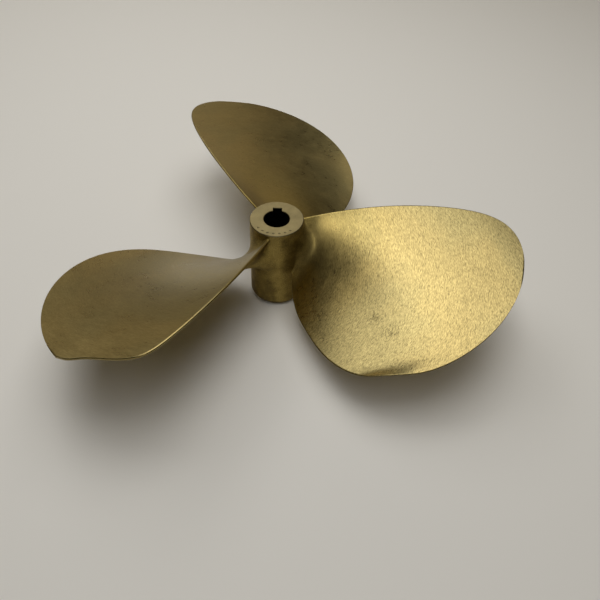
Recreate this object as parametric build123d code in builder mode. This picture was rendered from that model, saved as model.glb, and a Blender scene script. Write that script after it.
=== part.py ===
from build123d import *

import os
from math import atan2, cos, exp, pi, sin, sqrt, tau

# Three-blade fixed-pitch boat propeller, right-handed, cast in bronze.
#
# Frame: the shaft axis is Z. The forward end of the hub is at Z = 0 and its aft end faces up.
# The keyway is on the +Y side of the bore. Blade 1 is the first one clockwise of +X.
# All sizes are in millimetres and all angles in degrees, unless a name says otherwise.

# Propeller
tip_radius = 203.2
blade_count = 3
first_blade_angle = -24.6

# Hub barrel
hub_length = 82.6
hub_forward_radius = 24.2
hub_aft_radius = 22.8
hub_forward_round = 6.0
hub_aft_chamfer = 0.6

# Bore: a 1:10 taper for a 30 mm shaft, with the keyway of an 8 mm key cut parallel to the taper
bore_forward_diameter = 30.0
bore_taper = 1 / 10
bore_chamfer = 0.5
key_width = 8.0
key_depth = 3.3

# Blade centre line: its height on the shaft, its rake aft and the radius that the laws below start from
root_height = 55.0
tip_rake = 17.4
root_radius = 0.1 * tip_radius
blade_start = hub_aft_radius - 0.5

# Pitch, largest at 0.6 of the tip radius
full_pitch = 294.2
pitch_fall = 326.0

# Blade chord, measured along the blade face: half of it, and how far its middle stands off the centre line
half_chord_root = 27.4
half_chord_slope = 108.8
half_chord_swell = 37.4
skew_slope = -25.0
skew_tip = 64.5

# Leading edge near the hub: swept back into the root, then a little fuller than the laws above
sweep_back = 11.0
sweep_reach = 7.5
fullness = 1.9
fullness_radius = 57.0
fullness_spread = 22.0

# Blade thickness, below the flat pressure face
edge_thickness = 2.2
root_thickness = 12.0
tip_thickness = 3.0

# Blade 3 is worn flat along its trailing edge near the tip: how deep, and where along the radius
worn_blade = 3
worn_depth = 26.5
worn_centre = 0.951
worn_spread = 0.073

# Root fillet: its largest radius on the pressure face and on the back, and its radius at the two edges.
# On the face the fullest place lies aft of mid-chord.
face_fillet = 14.0
face_lean = 0.6
back_fillet = 12.0
trailing_fillet = 1.5
leading_fillet = 2.0

# Blade sections: how many, the last of them just short of the tip, and how many points across each
section_count = 22
last_section = 0.9997 * tip_radius
chord_steps = 10
root_plane_distance = 12.0


def pitch(radius):
    return full_pitch - pitch_fall * (radius / tip_radius - 0.6) ** 2


def span(radius):
    """Where a radius lies between the start of the blade laws, 0, and the tip, 1."""
    return (radius - root_radius) / (tip_radius - root_radius)


def half_chord(radius):
    along = min(max(span(radius), 0), 1)
    swell = half_chord_root + half_chord_slope * along + half_chord_swell * along**2
    return sqrt(1 - along**2) * swell


def mid_chord(radius):
    along = span(radius)
    return skew_slope * along + skew_tip * along**5


def leading_trim(radius):
    """How far the leading edge is drawn in near the hub."""
    swept = sweep_back * exp((blade_start - radius) / sweep_reach)
    return swept - fullness * exp(-(((radius - fullness_radius) / fullness_spread) ** 2))


def pitch_angle(radius):
    return atan2(pitch(radius), tau * radius)


def worn_away(radius):
    """How far the worn flat cuts into the chord: never more than 0.9 of the half chord."""
    depth = worn_depth * exp(-(((radius / tip_radius - worn_centre) / worn_spread) ** 2))
    limit = 0.9 * half_chord(radius)
    return (depth**-4 + limit**-4) ** -0.25


def thickness(radius, across):
    thickest = root_thickness + (tip_thickness - root_thickness) * span(radius)
    return edge_thickness + (thickest - edge_thickness) * (1 - across**2) ** 2


def lean(across, power):
    """1 where the fillet is fullest and 0 at both edges; a higher power moves the fullest place aft."""
    fullest = power / (4 + power)
    shape = (1 - across) ** 2 * (1 + across) ** (2 + power)
    return shape / ((1 - fullest) ** 2 * (1 + fullest) ** (2 + power))


def flare(radius, across, full_fillet, power):
    """How far the root fillet stands off the blade: a quarter circle that runs into the hub."""
    edge_fillet = leading_fillet + (trailing_fillet - leading_fillet) * (1 + across) / 2
    reach = edge_fillet + (full_fillet - edge_fillet) * lean(across, power)
    off_hub = min(radius - blade_start, reach)
    return reach - sqrt(reach**2 - (reach - off_hub) ** 2)


def blade_point(radius, along_chord, off_face):
    """A point set off square to the raked helicoid, and wrapped round the shaft axis."""
    slope = pitch_angle(radius)
    angle = (along_chord * cos(slope) - off_face * sin(slope)) / radius
    height = root_height + tip_rake * span(radius) + along_chord * sin(slope) + off_face * cos(slope)
    return Vector(radius * cos(angle), radius * sin(angle), height)


def pressed(point, plane):
    return point - plane.z_dir * plane.z_dir.dot(point - plane.origin)


def blade_section(radius, worn, end_plane=None):
    """The closed outline of the blade at one radius, pressed flat onto end_plane if there is one."""
    leading = mid_chord(radius) - half_chord(radius) + leading_trim(radius)
    trailing = mid_chord(radius) + half_chord(radius) - (worn_away(radius) if worn else 0)
    middle = (leading + trailing) / 2
    flat_half = (trailing - leading - edge_thickness) / 2
    steps = [step / chord_steps for step in range(chord_steps + 1)]
    face = []
    back = []
    for across in [2 * step - 1 for step in steps]:
        chord = middle + across * flat_half
        face.append(blade_point(radius, chord, flare(radius, across, face_fillet, face_lean)))
        depth = thickness(radius, across) + flare(radius, across, back_fillet, 0)
        back.append(blade_point(radius, chord, -depth))
    tips = []
    for side in (-1, 1):
        round_out = flat_half + edge_thickness / 2 + flare(radius, side, face_fillet, 0)
        tips.append(blade_point(radius, middle + side * round_out, -edge_thickness / 2))
    if end_plane:
        face = [pressed(point, end_plane) for point in face]
        back = [pressed(point, end_plane) for point in back]
        tips = [pressed(point, end_plane) for point in tips]
    with BuildLine() as section:
        add(Edge.make_spline(face, parameters=steps))
        ThreePointArc(face[-1], tips[1], back[-1])
        add(Edge.make_spline(back[::-1], parameters=steps))
        ThreePointArc(back[0], tips[0], face[0])
    return section.wire()


# Hub blank: the barrel without its bore, which also trims the blade roots
with BuildPart() as hub_blank:
    with BuildSketch(Plane.XZ):
        with BuildLine():
            Polyline(
                (0, 0),
                (hub_forward_radius, 0),
                (hub_aft_radius, hub_length),
                (0, hub_length),
                close=True,
            )
        make_face()
    revolve(axis=Axis.Z)
    fillet(hub_blank.edges().group_by(Axis.Z)[0], hub_forward_round)
    chamfer(hub_blank.edges().group_by(Axis.Z)[-1], hub_aft_chamfer)

# Hub
bore_forward_radius = bore_forward_diameter / 2
bore_aft_radius = bore_forward_radius - bore_taper * hub_length / 2
with BuildPart() as hub:
    add(hub_blank.part)
    with BuildSketch(Plane.XZ):
        with BuildLine():
            Polyline(
                (0, 0),
                (bore_forward_radius, 0),
                (bore_aft_radius, hub_length),
                (0, hub_length),
                close=True,
            )
        make_face()
    revolve(axis=Axis.Z, mode=Mode.SUBTRACT)
    aft_circles = hub.edges().filter_by(GeomType.CIRCLE).group_by(Axis.Z)[-1]
    chamfer(aft_circles.sort_by(SortBy.RADIUS)[0], bore_chamfer)
    with BuildSketch(Plane.YZ):
        with BuildLine():
            Polyline(
                (0, 0),
                (bore_forward_radius + key_depth, 0),
                (bore_aft_radius + key_depth, hub_length),
                (0, hub_length),
                close=True,
            )
        make_face()
    extrude(amount=key_width / 2, both=True, mode=Mode.SUBTRACT)
hub.part.label = "hub"

# Stations of the blade sections, from the hub to the tip, and the planes of the two flat ends
reach = last_section - blade_start
radii = [blade_start + reach * sin(pi / 2 * step / section_count) for step in range(section_count + 1)]
tip_point = blade_point(tip_radius, mid_chord(tip_radius), 0)
root_plane = Plane.YZ.offset(root_plane_distance)
tip_plane = Plane(tip_point, z_dir=Vector(tip_point.X, tip_point.Y))


def make_blade(worn):
    """One blade, with its centre line over +X. Its flat root end lies inside the hub and is cut away."""
    sections = [blade_section(radius, worn) for radius in radii]
    sections.insert(0, blade_section(blade_start, worn, root_plane))
    sections.append(blade_section(last_section, worn, tip_plane))
    with BuildPart() as blade:
        add(Solid.make_loft(sections))
        add(hub_blank.part, mode=Mode.SUBTRACT)
    return blade.part


os.makedirs("parts", exist_ok=True)
export_step(hub.part, "parts/hub.step")
for number in range(1, blade_count + 1):
    turn = first_blade_angle + (number - 1) * 360 / blade_count
    with BuildPart() as placed_blade:
        add(make_blade(number == worn_blade), rotation=(0, 0, turn))
    placed_blade.part.label = f"blade_{number}"
    export_step(placed_blade.part, f"parts/{placed_blade.part.label}.step")
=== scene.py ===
from math import asin, atan2, cos, exp, hypot, pi, radians, sin, sqrt, tau

import bpy
from mathutils import Matrix, Vector


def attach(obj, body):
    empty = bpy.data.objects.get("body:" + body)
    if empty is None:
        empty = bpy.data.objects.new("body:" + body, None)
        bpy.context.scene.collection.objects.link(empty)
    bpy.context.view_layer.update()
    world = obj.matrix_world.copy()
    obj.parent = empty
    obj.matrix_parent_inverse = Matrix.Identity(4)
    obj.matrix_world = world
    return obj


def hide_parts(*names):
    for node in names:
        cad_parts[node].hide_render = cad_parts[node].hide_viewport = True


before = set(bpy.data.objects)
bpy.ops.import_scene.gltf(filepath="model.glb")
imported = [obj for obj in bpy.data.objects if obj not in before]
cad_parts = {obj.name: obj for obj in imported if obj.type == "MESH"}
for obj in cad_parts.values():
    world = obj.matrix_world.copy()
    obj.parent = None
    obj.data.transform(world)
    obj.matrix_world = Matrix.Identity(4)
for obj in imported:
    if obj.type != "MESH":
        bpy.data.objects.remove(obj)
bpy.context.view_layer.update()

# Sizes are in millimetres, as in the CAD model, until a vertex is made. Angles are in radians.
MM = 0.001

# Propeller
TIP_RADIUS = 203.2
BLADE_COUNT = 3
FIRST_BLADE_ANGLE = radians(-24.6)

# Hub barrel and bore
HUB_LENGTH = 82.6
HUB_FORWARD_RADIUS = 24.2
HUB_AFT_RADIUS = 22.8
HUB_FORWARD_ROUND = 6.0
HUB_AFT_CHAMFER = 0.6
BORE_FORWARD_RADIUS = 15.0
BORE_AFT_RADIUS = 10.87
BORE_CHAMFER = 0.5
KEY_WIDTH = 8.0
KEY_DEPTH = 3.3

# Blade laws, the same as the CAD model's
ROOT_HEIGHT = 55.0
TIP_RAKE = 17.4
ROOT_RADIUS = 0.1 * TIP_RADIUS
FULL_PITCH = 294.2
PITCH_FALL = 326.0
PITCH_PEAK = 0.6
HALF_CHORD_ROOT = 27.4
HALF_CHORD_SLOPE = 108.8
HALF_CHORD_SWELL = 37.4
SKEW_SLOPE = -25.0
SKEW_TIP = 64.5
BLADE_START = HUB_AFT_RADIUS - 0.5
SWEEP_BACK = 11.0
SWEEP_REACH = 7.5
FULLNESS = 1.9
FULLNESS_RADIUS = 57.0
FULLNESS_SPREAD = 22.0
EDGE_THICKNESS = 2.2
ROOT_THICKNESS = 12.0
TIP_THICKNESS = 3.0
FACE_FILLET = 14.0
FACE_LEAN = 0.6
BACK_FILLET = 12.0
TRAILING_FILLET = 1.5
LEADING_FILLET = 2.0

# Bronze where it is ground, turned and left as cast, and the near-black painted shade in the bore
BLADE_GOLD = (0.345, 0.265, 0.105, 1)
BLADE_GREEN = (0.312, 0.250, 0.104, 1)
ROOT_BROWN = (0.320, 0.230, 0.060, 1)
TURNED_LIGHT = (0.370, 0.300, 0.145, 1)
TURNED_DARK = (0.240, 0.195, 0.095, 1)
CAST_LIGHT = (0.430, 0.325, 0.100, 1)
CAST_DARK = (0.220, 0.160, 0.048, 1)
BORE_PAINTED_SHADE_LIGHT = (0.016, 0.013, 0.009, 1)
BORE_PAINTED_SHADE_DARK = (0.006, 0.005, 0.004, 1)

# Wear, its places and widths as shares of the tip radius: the flat on blade 3's trailing edge, the same as
# the CAD model's, and the bent and rubbed stretch of blade 1's leading edge
FLAT_DEPTH = 26.5
FLAT_CENTRE = 0.951
FLAT_SPREAD = 0.073
CURL_HEIGHT = 4.2
CURL_CENTRE = 0.768
CURL_SPREAD = 0.052
CURL_REACH = 25.0
NICK_DEPTH = 2.5
NICK_CENTRE = 0.80
NICK_SPREAD = 0.045

# How strong the sanding marks are on each blade, and so the painted glints of their colour speckle, and the
# places of the faint stains on blade 1's pressure face, as (radius, chord, side)
BLADE_GRAIN = (1.0, 0.25, 0.3)
STAINS = ((112.0, -40.0, pi / 2), (130.0, -47.0, pi / 2))
STAIN_CORE = 2.0
STAIN_REACH = 9.0

# Noise in the materials: how many of its cells there are in a millimetre. On the blades these are across the
# lay of the sanding marks, along it, and in the blade's own third number
SANDING_NOISE = (3.0, 0.46, 1.0)
SCRATCH_NOISE = (1.6, 0.045, 1.0)
MEDIUM_NOISE = (0.30, 0.12, 1.0)
CLOUD_NOISE = (0.055, 0.04, 1.0)
PATCH_NOISE = (0.018, 0.014, 1.0)
CAST_LUMPS = 0.11
CAST_GRAIN = 1.7
CAST_STAIN = (0.06, 0.06, 0.03)
TURNED_RINGS = 2.6
TURNED_GRAIN = 0.9
TURNED_CLOUD = 0.12
BORE_GRAIN = 0.5

# The angle between the sanding marks and the chord, and the distances from the hub or the edge over which
# each finish, and the painted shade in the fillet, fades
SCRATCH_LAY = radians(14)
SANDING_FADE = (8.0, 50.0)
DULL_AND_SHADE_FADE = (6.0, 18.0)
BROWN_FADE = (10.0, 95.0)
EDGE_FADE = (0.2, 1.2)
CAST_FACE_FADE = (5.0, 17.0)
CAST_BACK_FADE = (20.0, 48.0)

# The turned land round the hub's forward end, where the hub stands on the floor; its darker colour is
# painted shade
LAND_AND_SHADE_HEIGHT = 5.0
LAND_AND_SHADE_FADE = 1.0
LAND_PITCH = 1.1

# Mesh fineness
CHORD_STEPS = 56
EDGE_STEPS = 6
FILLET_RINGS = 16
BLADE_RINGS = 84
LAST_RING_GAP = 0.02
HUB_SINK = 0.05
SKIRT_DEPTH = 0.4
SKIRT_FLARE = 1.0
HUB_STEPS = 480
KEY_FLOOR_STEPS = 40
KEY_WALL_STEPS = 12
BORE_STEPS = 14
FACE_STEPS = 44
BARREL_STEPS = 30
ROUND_STEPS = 8
SHARP_EDGE = radians(30)

# Plain round punch marks on the aft face
PUNCH_COUNT = 7
PUNCH_CIRCLE = 18.8
PUNCH_RADIUS = 1.1
PUNCH_DEPTH = 0.4
PUNCH_FIRST = radians(-140)
PUNCH_LAST = radians(-50)
DIRT_DEPTH = (0.25, 0.03)


# ---------------------------------------------------------------- mesh helpers

def make_mesh(name, vertices, faces, materials):
    mesh = bpy.data.meshes.new(name)
    mesh.from_pydata([tuple(v * MM for v in vertex) for vertex in vertices], [], faces)
    mesh.update()
    for material in materials:
        mesh.materials.append(material)
    for polygon in mesh.polygons:
        polygon.use_smooth = True
    piece = bpy.data.objects.new(name, mesh)
    bpy.context.scene.collection.objects.link(piece)
    return piece


def note_on_vertices(piece, name, vectors):
    """Three numbers kept on every vertex, for the materials to read."""
    layer = piece.data.attributes.new(name, "FLOAT_VECTOR", "POINT")
    layer.data.foreach_set("vector", [number for vector in vectors for number in vector])


def join_rings(ring_count, ring_size):
    """Quads between neighbouring closed rings of vertices."""
    faces = []
    for ring in range(ring_count - 1):
        low = ring * ring_size
        high = low + ring_size
        for step in range(ring_size):
            after = (step + 1) % ring_size
            faces.append((low + step, high + step, high + after, low + after))
    return faces


# ---------------------------------------------------------------- blades

def pitch(radius):
    return FULL_PITCH - PITCH_FALL * (radius / TIP_RADIUS - PITCH_PEAK) ** 2


def pitch_angle(radius):
    return atan2(pitch(radius), tau * radius)


def span(radius):
    return (radius - ROOT_RADIUS) / (TIP_RADIUS - ROOT_RADIUS)


def half_chord(radius):
    along = min(max(span(radius), 0), 1)
    swell = HALF_CHORD_ROOT + HALF_CHORD_SLOPE * along + HALF_CHORD_SWELL * along**2
    return sqrt(1 - along**2) * swell


def mid_chord(radius):
    along = span(radius)
    return SKEW_SLOPE * along + SKEW_TIP * along**5


def leading_trim(radius):
    """How far the leading edge is drawn in near the hub."""
    swept = SWEEP_BACK * exp((BLADE_START - radius) / SWEEP_REACH)
    return swept - FULLNESS * bump(radius - FULLNESS_RADIUS, FULLNESS_SPREAD)


def hub_radius(height):
    return HUB_FORWARD_RADIUS + (HUB_AFT_RADIUS - HUB_FORWARD_RADIUS) * height / HUB_LENGTH


def bump(distance, width):
    return exp(-((distance / width) ** 2))


def soft_least(a, b):
    """The smaller of two lengths, with a smooth change-over."""
    if min(a, b) <= 0:
        return 0
    return (a**-4 + b**-4) ** (-1 / 4)


class Blade:
    """The shape of one blade, its wear included."""

    def __init__(self, angle, grain, flat_depth=0.0, curl_height=0.0, nick_depth=0.0):
        self.angle = angle
        self.grain = grain
        self.flat_depth = flat_depth
        self.curl_height = curl_height
        self.nick_depth = nick_depth

    def worn_away(self, radius):
        """How far a flat on the trailing edge near the tip cuts into the chord."""
        depth = self.flat_depth * bump(radius / TIP_RADIUS - FLAT_CENTRE, FLAT_SPREAD)
        return soft_least(depth, 0.9 * half_chord(radius))

    def nick(self, radius):
        """How far the bent stretch of the leading edge is rubbed away."""
        return self.nick_depth * bump(radius / TIP_RADIUS - NICK_CENTRE, NICK_SPREAD)

    def curl(self, radius, along_chord):
        """How far the leading edge is bent aft."""
        from_leading = along_chord - mid_chord(radius) + half_chord(radius)
        inside = max(1 - from_leading / CURL_REACH, 0)
        return self.curl_height * bump(radius / TIP_RADIUS - CURL_CENTRE, CURL_SPREAD) * inside**2

    def edges(self, radius):
        """Where the blade's leading and trailing edges are along the chord."""
        leading = mid_chord(radius) - half_chord(radius) + leading_trim(radius) + self.nick(radius)
        trailing = mid_chord(radius) + half_chord(radius) - self.worn_away(radius)
        return leading, trailing

    def point(self, radius, along_chord, off_face):
        slope = pitch_angle(radius)
        off_face += self.curl(radius, along_chord)
        angle = self.angle + (along_chord * cos(slope) - off_face * sin(slope)) / radius
        height = ROOT_HEIGHT + TIP_RAKE * span(radius)
        height += along_chord * sin(slope) + off_face * cos(slope)
        return (radius * cos(angle), radius * sin(angle), height)

    def section_place(self, radius, station, flare):
        """Chord and off-face distances of a place on the closed section at one radius."""
        across, turn = station
        rim = min((TIP_RADIUS - radius) / (EDGE_THICKNESS / 2), 1)
        edge = EDGE_THICKNESS / 2 * sqrt(max(1 - (1 - rim) ** 2, 0))
        sink = EDGE_THICKNESS / 2 - edge
        leading, trailing = self.edges(radius)
        chord = (leading + trailing) / 2 + across * ((trailing - leading) / 2 - edge)
        if abs(turn) == pi / 2:
            thickest = ROOT_THICKNESS + (TIP_THICKNESS - ROOT_THICKNESS) * span(radius)
            extra = max(thickest - EDGE_THICKNESS, 0) * (1 - across**2) ** 2
            off_face = flare if turn > 0 else -2 * edge - flare - extra
        else:
            chord += across * (edge + flare) * cos(turn)
            off_face = -edge + (edge + flare) * sin(turn)
        return chord, off_face - sink

    def section_point(self, radius, station, flare):
        return self.point(radius, *self.section_place(radius, station, flare))

    def section_notes(self, radius, station):
        """For the materials: radius, chord and side; distances to the edge and the hub, and the grain."""
        chord = self.section_place(radius, station, 0)[0]
        leading, trailing = self.edges(radius)
        from_edge = max(min(chord - leading, trailing - chord, TIP_RADIUS - radius), 0)
        return (radius, chord, station[1]), (from_edge, radius - HUB_AFT_RADIUS, self.grain)


def blade_stations():
    """Once round a section: the pressure face, the trailing edge, the back and the leading edge."""
    across = [sin(pi / 2 * (2 * step / CHORD_STEPS - 1)) for step in range(CHORD_STEPS + 1)]
    turns = [pi / 2 - pi * step / EDGE_STEPS for step in range(1, EDGE_STEPS)]
    face = [(place, pi / 2) for place in across]
    back = [(place, -pi / 2) for place in reversed(across)]
    trailing = [(1, turn) for turn in turns]
    leading = [(-1, turn) for turn in reversed(turns)]
    return face + trailing + back + leading


def lean(across, power):
    """1 where the fillet is fullest and 0 at both edges; a higher power moves the fullest place aft."""
    fullest = power / (4 + power)
    shape = (1 - across) ** 2 * (1 + across) ** (2 + power)
    return shape / ((1 - fullest) ** 2 * (1 + fullest) ** (2 + power))


def fillet_reach(station):
    across, turn = station
    edge = LEADING_FILLET + (TRAILING_FILLET - LEADING_FILLET) * (1 + across) / 2
    if turn > 0:
        return edge + (FACE_FILLET - edge) * lean(across, FACE_LEAN)
    return edge + (BACK_FILLET - edge) * lean(across, 0)


def end_faces(base, inward):
    """Faces that close a section: a strip between the face and the back, and its two rounded ends."""
    back = CHORD_STEPS + EDGE_STEPS
    faces = [
        (step, step + 1, back + CHORD_STEPS - step - 1, back + CHORD_STEPS - step)
        for step in range(CHORD_STEPS)
    ]
    faces.append(tuple(range(CHORD_STEPS, back + 1)))
    faces.append((*range(back + CHORD_STEPS, back + CHORD_STEPS + EDGE_STEPS), 0))
    if not inward:
        faces = [face[::-1] for face in faces]
    return [tuple(base + corner for corner in face) for face in faces]


def blade_mesh(name, blade, material):
    stations = blade_stations()
    reaches = [fillet_reach(station) for station in stations]
    starts = []
    for station, reach in zip(stations, reaches):
        height = blade.section_point(HUB_AFT_RADIUS, station, reach)[2]
        starts.append(hub_radius(height) - HUB_SINK)
    places = []

    def add_ring(radii, flares):
        places.extend(zip(radii, stations, flares))

    # a skirt that runs on inside the hub, so that the fillet leaves the hub's surface smoothly
    add_ring([start - SKIRT_DEPTH for start in starts], [reach + SKIRT_FLARE for reach in reaches])
    for ring in range(FILLET_RINGS):
        turn = pi / 2 * (1 - ring / FILLET_RINGS)
        add_ring(
            [start + reach * (1 - sin(turn)) for start, reach in zip(starts, reaches)],
            [reach * (1 - cos(turn)) for reach in reaches],
        )
    last = TIP_RADIUS - LAST_RING_GAP
    for ring in range(BLADE_RINGS + 1):
        outward = sin(pi / 2 * ring / BLADE_RINGS)
        firsts = [start + reach for start, reach in zip(starts, reaches)]
        add_ring([first + (last - first) * outward for first in firsts], [0] * len(stations))
    size = len(stations)
    ring_count = len(places) // size
    faces = join_rings(ring_count, size)
    faces += end_faces(0, True) + end_faces((ring_count - 1) * size, False)
    piece = make_mesh(name, [blade.section_point(*place) for place in places], faces, [material])
    notes = [blade.section_notes(radius, station) for radius, station, flare in places]
    note_on_vertices(piece, "blade_place", [place for place, wear in notes])
    note_on_vertices(piece, "blade_wear", [wear for place, wear in notes])
    return piece


# ---------------------------------------------------------------- hub

def keyed_ring(radius):
    """Points once round the bore, in even steps on each of its stretches: key floor, wall, arc, wall."""
    half = KEY_WIDTH / 2
    corner = asin(half / radius)
    mouth = sqrt(radius**2 - half**2)
    floor = radius + KEY_DEPTH
    points = []
    for step in range(KEY_FLOOR_STEPS):
        points.append((half - KEY_WIDTH * step / KEY_FLOOR_STEPS, floor))
    for step in range(KEY_WALL_STEPS):
        points.append((-half, floor + (mouth - floor) * step / KEY_WALL_STEPS))
    arc_steps = HUB_STEPS - KEY_FLOOR_STEPS - 2 * KEY_WALL_STEPS
    for step in range(arc_steps):
        turn = pi / 2 + corner + (tau - 2 * corner) * step / arc_steps
        points.append((radius * cos(turn), radius * sin(turn)))
    for step in range(KEY_WALL_STEPS):
        points.append((half, mouth + (floor - mouth) * step / KEY_WALL_STEPS))
    return points


def round_ring(radius):
    """Points round a circle, each in line with one of the bore's at the aft end."""
    turns = [atan2(y, x) for x, y in keyed_ring(BORE_AFT_RADIUS)]
    return [(radius * cos(turn), radius * sin(turn)) for turn in turns]


def bore_radius(height):
    return BORE_FORWARD_RADIUS + (BORE_AFT_RADIUS - BORE_FORWARD_RADIUS) * height / HUB_LENGTH


def punched(x, y):
    """How deep the aft face is sunk by the punch marks."""
    depth = 0.0
    for mark in range(PUNCH_COUNT):
        turn = PUNCH_FIRST + (PUNCH_LAST - PUNCH_FIRST) * mark / (PUNCH_COUNT - 1)
        off = hypot(x - PUNCH_CIRCLE * cos(turn), y - PUNCH_CIRCLE * sin(turn)) / PUNCH_RADIUS
        depth += PUNCH_DEPTH * sqrt(max(1 - off**2, 0))
    return depth


def hub_mesh(name, barrel, turned, bored):
    """The hub as one closed skin of rings: up the bore, over the aft face, down the barrel and back in."""
    materials = [barrel, turned, bored]
    rings = []
    bands = []

    def add_ring(points, height, band):
        rings.append([(x, y, height) for x, y in points])
        bands.append(band)

    for step in range(BORE_STEPS + 1):
        height = (HUB_LENGTH - BORE_CHAMFER) * step / BORE_STEPS
        add_ring(keyed_ring(bore_radius(height)), height, bored if step < BORE_STEPS else turned)
    inner = keyed_ring(BORE_AFT_RADIUS + BORE_CHAMFER)
    outer = round_ring(HUB_AFT_RADIUS - HUB_AFT_CHAMFER)
    for step in range(FACE_STEPS + 1):
        share = step / FACE_STEPS
        points = [
            (a[0] + (b[0] - a[0]) * share, a[1] + (b[1] - a[1]) * share) for a, b in zip(inner, outer)
        ]
        rings.append([(x, y, HUB_LENGTH - punched(x, y)) for x, y in points])
        bands.append(turned)
    top = HUB_LENGTH - HUB_AFT_CHAMFER
    for step in range(BARREL_STEPS + 1):
        height = top + (HUB_FORWARD_ROUND - top) * step / BARREL_STEPS
        add_ring(round_ring(hub_radius(height)), height, barrel)
    for step in range(1, ROUND_STEPS + 1):
        turn = pi / 2 * step / ROUND_STEPS
        radius = HUB_FORWARD_RADIUS - HUB_FORWARD_ROUND * (1 - cos(turn))
        add_ring(round_ring(radius), HUB_FORWARD_ROUND * (1 - sin(turn)), barrel)
    faces = join_rings(len(rings), HUB_STEPS)
    last = (len(rings) - 1) * HUB_STEPS
    for step in range(HUB_STEPS):
        after = (step + 1) % HUB_STEPS
        faces.append((last + step, step, after, last + after))
    hub = make_mesh(name, [point for ring in rings for point in ring], faces, materials)
    for polygon in hub.data.polygons:
        polygon.material_index = materials.index(bands[polygon.index // HUB_STEPS])
    hub.data.set_sharp_from_angle(angle=SHARP_EDGE)
    return hub


# ---------------------------------------------------------------- materials

class Recipe:
    """One procedural material: helpers that add nodes to it and join them up."""

    def __init__(self, name):
        self.material = bpy.data.materials.new(name)
        self.material.use_nodes = True
        self.tree = self.material.node_tree
        self.shader = self.tree.nodes["Principled BSDF"]
        self.shader.inputs["Metallic"].default_value = 1.0

    def feed(self, socket, value):
        if isinstance(value, bpy.types.NodeSocket):
            self.tree.links.new(value, socket)
        else:
            socket.default_value = value

    def node(self, kind, inputs, **settings):
        node = self.tree.nodes.new(kind)
        for key, value in settings.items():
            setattr(node, key, value)
        for key, value in inputs.items():
            self.feed(node.inputs[key], value)
        return node

    def maths(self, operation, a, b=0.0):
        return self.node("ShaderNodeMath", {0: a, 1: b}, operation=operation).outputs[0]

    def scaled(self, vector, factors):
        return self.node("ShaderNodeVectorMath", {0: vector, 1: factors}, operation="MULTIPLY").outputs[0]

    def turned(self, vector, angle):
        inputs = {"Vector": vector, "Angle": angle}
        return self.node("ShaderNodeVectorRotate", inputs, rotation_type="Z_AXIS").outputs[0]

    def parts(self, vector):
        return self.node("ShaderNodeSeparateXYZ", {0: vector}).outputs[:3]

    def noted(self, name):
        return self.node("ShaderNodeAttribute", {}, attribute_name=name).outputs["Vector"]

    def place(self):
        """The place on the object in millimetres."""
        return self.scaled(self.node("ShaderNodeTexCoord", {}).outputs["Object"], (1 / MM, 1 / MM, 1 / MM))

    def noise(self, vector, per_mm, detail=2.0):
        """Noise between 0 and 1, finer the more there is of it per millimetre."""
        inputs = {"Vector": self.scaled(vector, per_mm), "Scale": 1.0, "Detail": detail}
        return self.node("ShaderNodeTexNoise", inputs).outputs[0]

    def ramp(self, value, low, high, start=0.0, end=1.0):
        inputs = {"Value": value, "From Min": low, "From Max": high, "To Min": start, "To Max": end}
        return self.node("ShaderNodeMapRange", inputs, interpolation_type="SMOOTHSTEP").outputs[0]

    def total(self, start, *terms):
        """start + weight * value for each (weight, value)."""
        for weight, value in terms:
            inputs = {0: value, 1: weight, 2: start}
            start = self.node("ShaderNodeMath", inputs, operation="MULTIPLY_ADD").outputs[0]
        return start

    def blend(self, share, a, b):
        node = self.node("ShaderNodeMix", {0: share, 6: a, 7: b}, data_type="RGBA")
        return node.outputs[2]

    def shade(self, colour, tone):
        """A colour made lighter or darker by a factor."""
        return self.node("ShaderNodeVectorMath", {0: colour, "Scale": tone}, operation="SCALE").outputs[0]

    def finish(self, colour, roughness, height, depth):
        """depth is how many millimetres of relief one unit of height stands for."""
        self.feed(self.shader.inputs["Base Color"], colour)
        self.feed(self.shader.inputs["Roughness"], roughness)
        bump_node = self.node("ShaderNodeBump", {"Height": height, "Distance": depth * MM})
        self.feed(self.shader.inputs["Normal"], bump_node.outputs[0])
        return self.material


def even(size):
    return (size, size, size)


def cast_skin(recipe):
    """Colour, roughness and relief of the rough cast skin, the same on the hub and on the blade roots."""
    place = recipe.place()
    lumps = recipe.noise(place, even(CAST_LUMPS), 3.0)
    grain = recipe.noise(place, even(CAST_GRAIN))
    stain = recipe.noise(place, CAST_STAIN)
    share = recipe.ramp(recipe.total(0.0, (0.5, lumps), (0.5, stain)), 0.38, 0.62)
    colour = recipe.blend(share, CAST_DARK, CAST_LIGHT)
    colour = recipe.shade(colour, recipe.total(-0.05, (2.1, grain)))
    roughness = recipe.total(0.42, (0.2, grain), (0.12, lumps))
    relief = recipe.total(-0.17, (0.30, lumps), (0.05, grain))
    return colour, roughness, relief


def hub_barrel():
    recipe = Recipe("hub_bronze")
    colour, roughness, relief = cast_skin(recipe)
    height = recipe.parts(recipe.place())[2]
    land_and_foot_shade = recipe.ramp(height, LAND_AND_SHADE_HEIGHT, LAND_AND_SHADE_HEIGHT + LAND_AND_SHADE_FADE, 1.0, 0.0)
    lines = recipe.maths("SINE", recipe.maths("MULTIPLY", height, tau / LAND_PITCH))
    # the land's colour is a quarter darker: painted shade at the foot, where the hub stands on the floor;
    # its turning lines and recess are relief
    colour = recipe.shade(colour, recipe.total(1.0, (-0.25, land_and_foot_shade)))
    relief = recipe.total(relief, (0.03, recipe.maths("MULTIPLY", lines, land_and_foot_shade)), (-0.15, land_and_foot_shade))
    return recipe.finish(colour, roughness, relief, 1.0)


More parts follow.
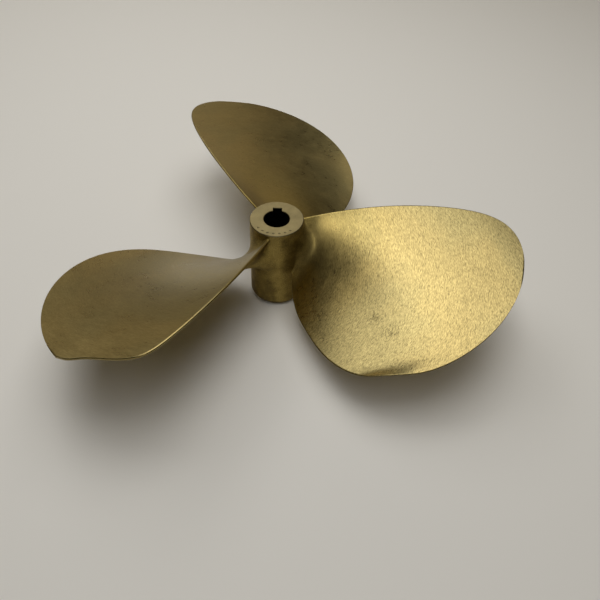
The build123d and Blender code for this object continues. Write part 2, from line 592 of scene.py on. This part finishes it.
def hub_turned_face():
    recipe = Recipe("hub_turned_bronze")
    place = recipe.place()
    x, y, z = recipe.parts(place)
    radius = recipe.maths("POWER", recipe.total(recipe.maths("MULTIPLY", x, x), (y, y)), 0.5)
    across = recipe.node("ShaderNodeCombineXYZ", {0: radius}).outputs[0]
    rings = recipe.noise(across, even(TURNED_RINGS))
    grain = recipe.noise(place, even(TURNED_GRAIN), 3.0)
    cloud = recipe.noise(place, even(TURNED_CLOUD))
    # the punch marks hold dirt
    sunk = recipe.ramp(z, HUB_LENGTH - DIRT_DEPTH[0], HUB_LENGTH - DIRT_DEPTH[1], 1.0, 0.0)
    tone = recipe.total(0.62, (0.35, rings), (0.25, grain), (0.2, cloud), (-0.55, sunk))
    colour = recipe.shade(recipe.blend(cloud, TURNED_DARK, TURNED_LIGHT), tone)
    roughness = recipe.total(0.36, (0.2, grain), (0.1, rings))
    return recipe.finish(colour, roughness, recipe.total(0.0, (0.7, rings), (0.3, grain)), 0.12)


def bore_painted_shade():
    # the bore's near-black colour is painted shade, standing in for the dark inside the deep hole
    recipe = Recipe("bore_painted_shade_bronze")
    grain = recipe.noise(recipe.place(), even(BORE_GRAIN), 3.0)
    colour = recipe.blend(grain, BORE_PAINTED_SHADE_DARK, BORE_PAINTED_SHADE_LIGHT)
    return recipe.finish(colour, recipe.total(0.5, (0.3, grain)), grain, 0.1)


def stain_mark(recipe, place, speckle):
    """1 in the middle of the stains and 0 away from them, broken up by a speckle."""
    marks = 0.0
    for stain in STAINS:
        inputs = {0: place, 1: stain}
        away = recipe.node("ShaderNodeVectorMath", inputs, operation="DISTANCE").outputs["Value"]
        marks = recipe.total(marks, (1.0, recipe.ramp(away, STAIN_CORE, STAIN_REACH, 1.0, 0.0)))
    return recipe.maths("MULTIPLY", marks, recipe.ramp(speckle, 0.4, 0.6, 1.0, 0.3))


def blade_skin():
    """Ground and lightly polished bronze, with the cast skin left on the roots."""
    recipe = Recipe("blade_bronze")
    place = recipe.noted("blade_place")
    radius, chord, side = recipe.parts(place)
    from_edge, from_hub, grain = recipe.parts(recipe.noted("blade_wear"))

    # the grain is in the third place, so that no two blades have the same marks
    third = recipe.total(side, (100.0, grain))
    own = recipe.node("ShaderNodeCombineXYZ", {0: radius, 1: chord, 2: third}).outputs[0]
    lay = recipe.turned(own, -SCRATCH_LAY)
    fine = recipe.noise(lay, SANDING_NOISE)
    medium = recipe.noise(lay, MEDIUM_NOISE)
    cloud = recipe.noise(lay, CLOUD_NOISE, 3.0)
    patch = recipe.noise(lay, PATCH_NOISE)
    scratch = recipe.ramp(recipe.noise(lay, SCRATCH_NOISE, 0.0), 0.66, 0.76)
    smudge = recipe.maths("MULTIPLY", recipe.ramp(patch, 0.55, 0.80), recipe.ramp(cloud, 0.40, 0.75))

    # the sanding marks fade towards the hub, and the thin edge is darker where they are strong; the marks'
    # speckle in the colour is painted glints, while their relief and roughness are real
    strength = recipe.maths("MULTIPLY", grain, recipe.ramp(from_hub, *SANDING_FADE, 0.35, 1.0))
    sanding_and_glints = recipe.maths("MULTIPLY", recipe.maths("SUBTRACT", fine, 0.5), strength)
    edge = recipe.maths("MULTIPLY", recipe.ramp(from_edge, *EDGE_FADE, 1.0, 0.0), grain)

    # the fillet is hard to reach with a grinder, so it stays rough; its colour is also darkened there, which
    # is painted shade in the corner against the hub, and the metal is browner towards the hub
    dull_and_shaded = recipe.ramp(from_hub, *DULL_AND_SHADE_FADE, 1.0, 0.0)
    brown = recipe.ramp(from_hub, *BROWN_FADE, 0.55, 0.0)

    # only blade 1 is stained
    stained = recipe.maths("MULTIPLY", stain_mark(recipe, place, fine), recipe.ramp(grain, 0.9, 1.0))

    # the sanding marks' speckle in this tone is painted glints
    tone = recipe.total(0.80, (2.6, sanding_and_glints), (0.20, medium), (0.14, cloud), (0.08, patch), (0.06, scratch))
    tone = recipe.total(tone, (-0.14, smudge), (-0.50, edge), (-0.24, dull_and_shaded), (-0.30, stained))
    colour = recipe.blend(recipe.ramp(patch, 0.38, 0.62), BLADE_GREEN, BLADE_GOLD)
    colour = recipe.shade(recipe.blend(brown, colour, ROOT_BROWN), tone)
    roughness = recipe.total(0.20, (0.10, sanding_and_glints), (0.10, medium), (0.10, cloud), (0.06, smudge))
    roughness = recipe.total(roughness, (0.12, dull_and_shaded))
    relief = recipe.total(0.0, (0.02, sanding_and_glints), (0.02, medium), (0.035, cloud), (-0.003, scratch))

    # the cast skin, with an uneven limit: on the face's fillet, and further out on the back
    cast_colour, cast_roughness, cast_relief = cast_skin(recipe)
    uneven = recipe.total(from_hub, (6.0, cloud), (3.0, medium))
    behind = recipe.ramp(side, -1.4, -0.7, 1.0, 0.0)
    on_face = recipe.ramp(uneven, *CAST_FACE_FADE, 1.0, 0.0)
    on_back = recipe.maths("MULTIPLY", recipe.ramp(uneven, *CAST_BACK_FADE, 1.0, 0.0), behind)
    cast = recipe.maths("MAXIMUM", on_face, on_back)
    rougher = recipe.maths("SUBTRACT", cast_roughness, roughness)
    colour = recipe.blend(cast, colour, cast_colour)
    roughness = recipe.total(roughness, (cast, rougher))
    relief = recipe.total(relief, (cast, cast_relief))
    return recipe.finish(colour, roughness, relief, 1.0)


# ---------------------------------------------------------------- the object

blade_bronze = blade_skin()

hub = hub_mesh("hub_casting", hub_barrel(), hub_turned_face(), bore_painted_shade())
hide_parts("hub")
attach(hub, "root")

wear = [
    {"curl_height": CURL_HEIGHT, "nick_depth": NICK_DEPTH},
    {},
    {"flat_depth": FLAT_DEPTH},
]
for number in range(BLADE_COUNT):
    angle = FIRST_BLADE_ANGLE + number * tau / BLADE_COUNT
    shape = Blade(angle, BLADE_GRAIN[number], **wear[number])
    piece = blade_mesh(f"blade_{number + 1}_casting", shape, blade_bronze)
    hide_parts(f"blade_{number + 1}")
    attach(piece, "root")


# ---------------------------------------------------------------- stage, lights and camera

# Metres, for the room
LIGHT_HEIGHT = 1.1
WALL_DISTANCE = 2.0
WALL_HEIGHT = 0.7
WALL_PANEL = (1.6, 1.2)
WALL_COLOUR = (1.0, 0.86, 0.62)
WALL_GLOW = 0.033
FLOOR_SIZE = 8.0
FLOOR_COLOUR = (0.825, 0.798, 0.737)

# The camera, its aim and distance in millimetres
CAMERA_AIM = (22.05, -16.53, 0)
CAMERA_DISTANCE = 523.9
CAMERA_ELEVATION = 0.8374
CAMERA_ROLL = 0.0364
CAMERA_LENS = 33.88
SENSOR_WIDTH = 36.0


def plain_material(name, colour, roughness):
    material = bpy.data.materials.new(name)
    material.use_nodes = True
    shader = material.node_tree.nodes["Principled BSDF"]
    shader.inputs["Base Color"].default_value = (*colour, 1)
    shader.inputs["Roughness"].default_value = roughness
    return material


def make_floor():
    half = FLOOR_SIZE / 2
    mesh = bpy.data.meshes.new("floor")
    corners = [(-half, -half, 0), (half, -half, 0), (half, half, 0), (-half, half, 0)]
    mesh.from_pydata(corners, [], [(0, 1, 2, 3)])
    mesh.materials.append(plain_material("paper", FLOOR_COLOUR, 0.9))
    floor = bpy.data.objects.new("floor", mesh)
    bpy.context.scene.collection.objects.link(floor)


def area_light(name, place, aim, size, radiance, colour=(1, 1, 1)):
    """A flat rectangular softbox; radiance is how bright it looks from in front."""
    data = bpy.data.lights.new(name, "AREA")
    data.shape = "RECTANGLE"
    data.size, data.size_y = size
    data.energy = radiance * pi * size[0] * size[1]
    data.color = colour
    light = bpy.data.objects.new(name, data)
    light.location = place
    light.rotation_mode = "QUATERNION"
    light.rotation_quaternion = (Vector(aim) - Vector(place)).to_track_quat("-Z", "Y")
    bpy.context.scene.collection.objects.link(light)


def softbox(name, across, along, radiance):
    """A softbox over the object, its edges given in units of its height."""
    place = (sum(across) / 2 * LIGHT_HEIGHT, sum(along) / 2 * LIGHT_HEIGHT, LIGHT_HEIGHT)
    size = ((across[1] - across[0]) * LIGHT_HEIGHT, (along[1] - along[0]) * LIGHT_HEIGHT)
    area_light(name, place, (place[0], place[1], 0), size, radiance)


def make_world():
    world = bpy.data.worlds.new("room")
    world.use_nodes = True
    background = world.node_tree.nodes["Background"]
    background.inputs["Color"].default_value = (*WALL_COLOUR, 1)
    background.inputs["Strength"].default_value = WALL_GLOW
    bpy.context.scene.world = world


def make_camera():
    """A camera that looks down from the front at a place beside the hub's foot, rolled a little."""
    back = Vector((0, -cos(CAMERA_ELEVATION), sin(CAMERA_ELEVATION)))
    place = (Vector(CAMERA_AIM) + back * CAMERA_DISTANCE) * MM
    turn = Matrix.Rotation(pi / 2 - CAMERA_ELEVATION, 4, "X") @ Matrix.Rotation(CAMERA_ROLL, 4, "Z")
    data = bpy.data.cameras.new("camera")
    data.lens = CAMERA_LENS
    data.sensor_width = SENSOR_WIDTH
    camera = bpy.data.objects.new("camera", data)
    camera.matrix_world = Matrix.Translation(place) @ turn
    bpy.context.scene.collection.objects.link(camera)
    bpy.context.scene.camera = camera


bpy.context.scene.view_settings.view_transform = "Standard"
make_floor()
make_world()
softbox("overhead_middle", (-0.22, 0.02), (-0.97, 0.44), 3.4)
softbox("overhead_right", (0.02, 0.47), (-0.29, 0.66), 2.05)
softbox("overhead_left", (-0.72, -0.22), (0.08, 1.25), 2.1)
for bearing, radiance in ((45, 0.38), (90, 0.40), (135, 0.25)):
    turn = radians(bearing)
    place = (WALL_DISTANCE * cos(turn), WALL_DISTANCE * sin(turn), WALL_HEIGHT)
    area_light(f"wall_{bearing}", place, (0, 0, WALL_HEIGHT), WALL_PANEL, radiance, WALL_COLOUR)
make_camera()
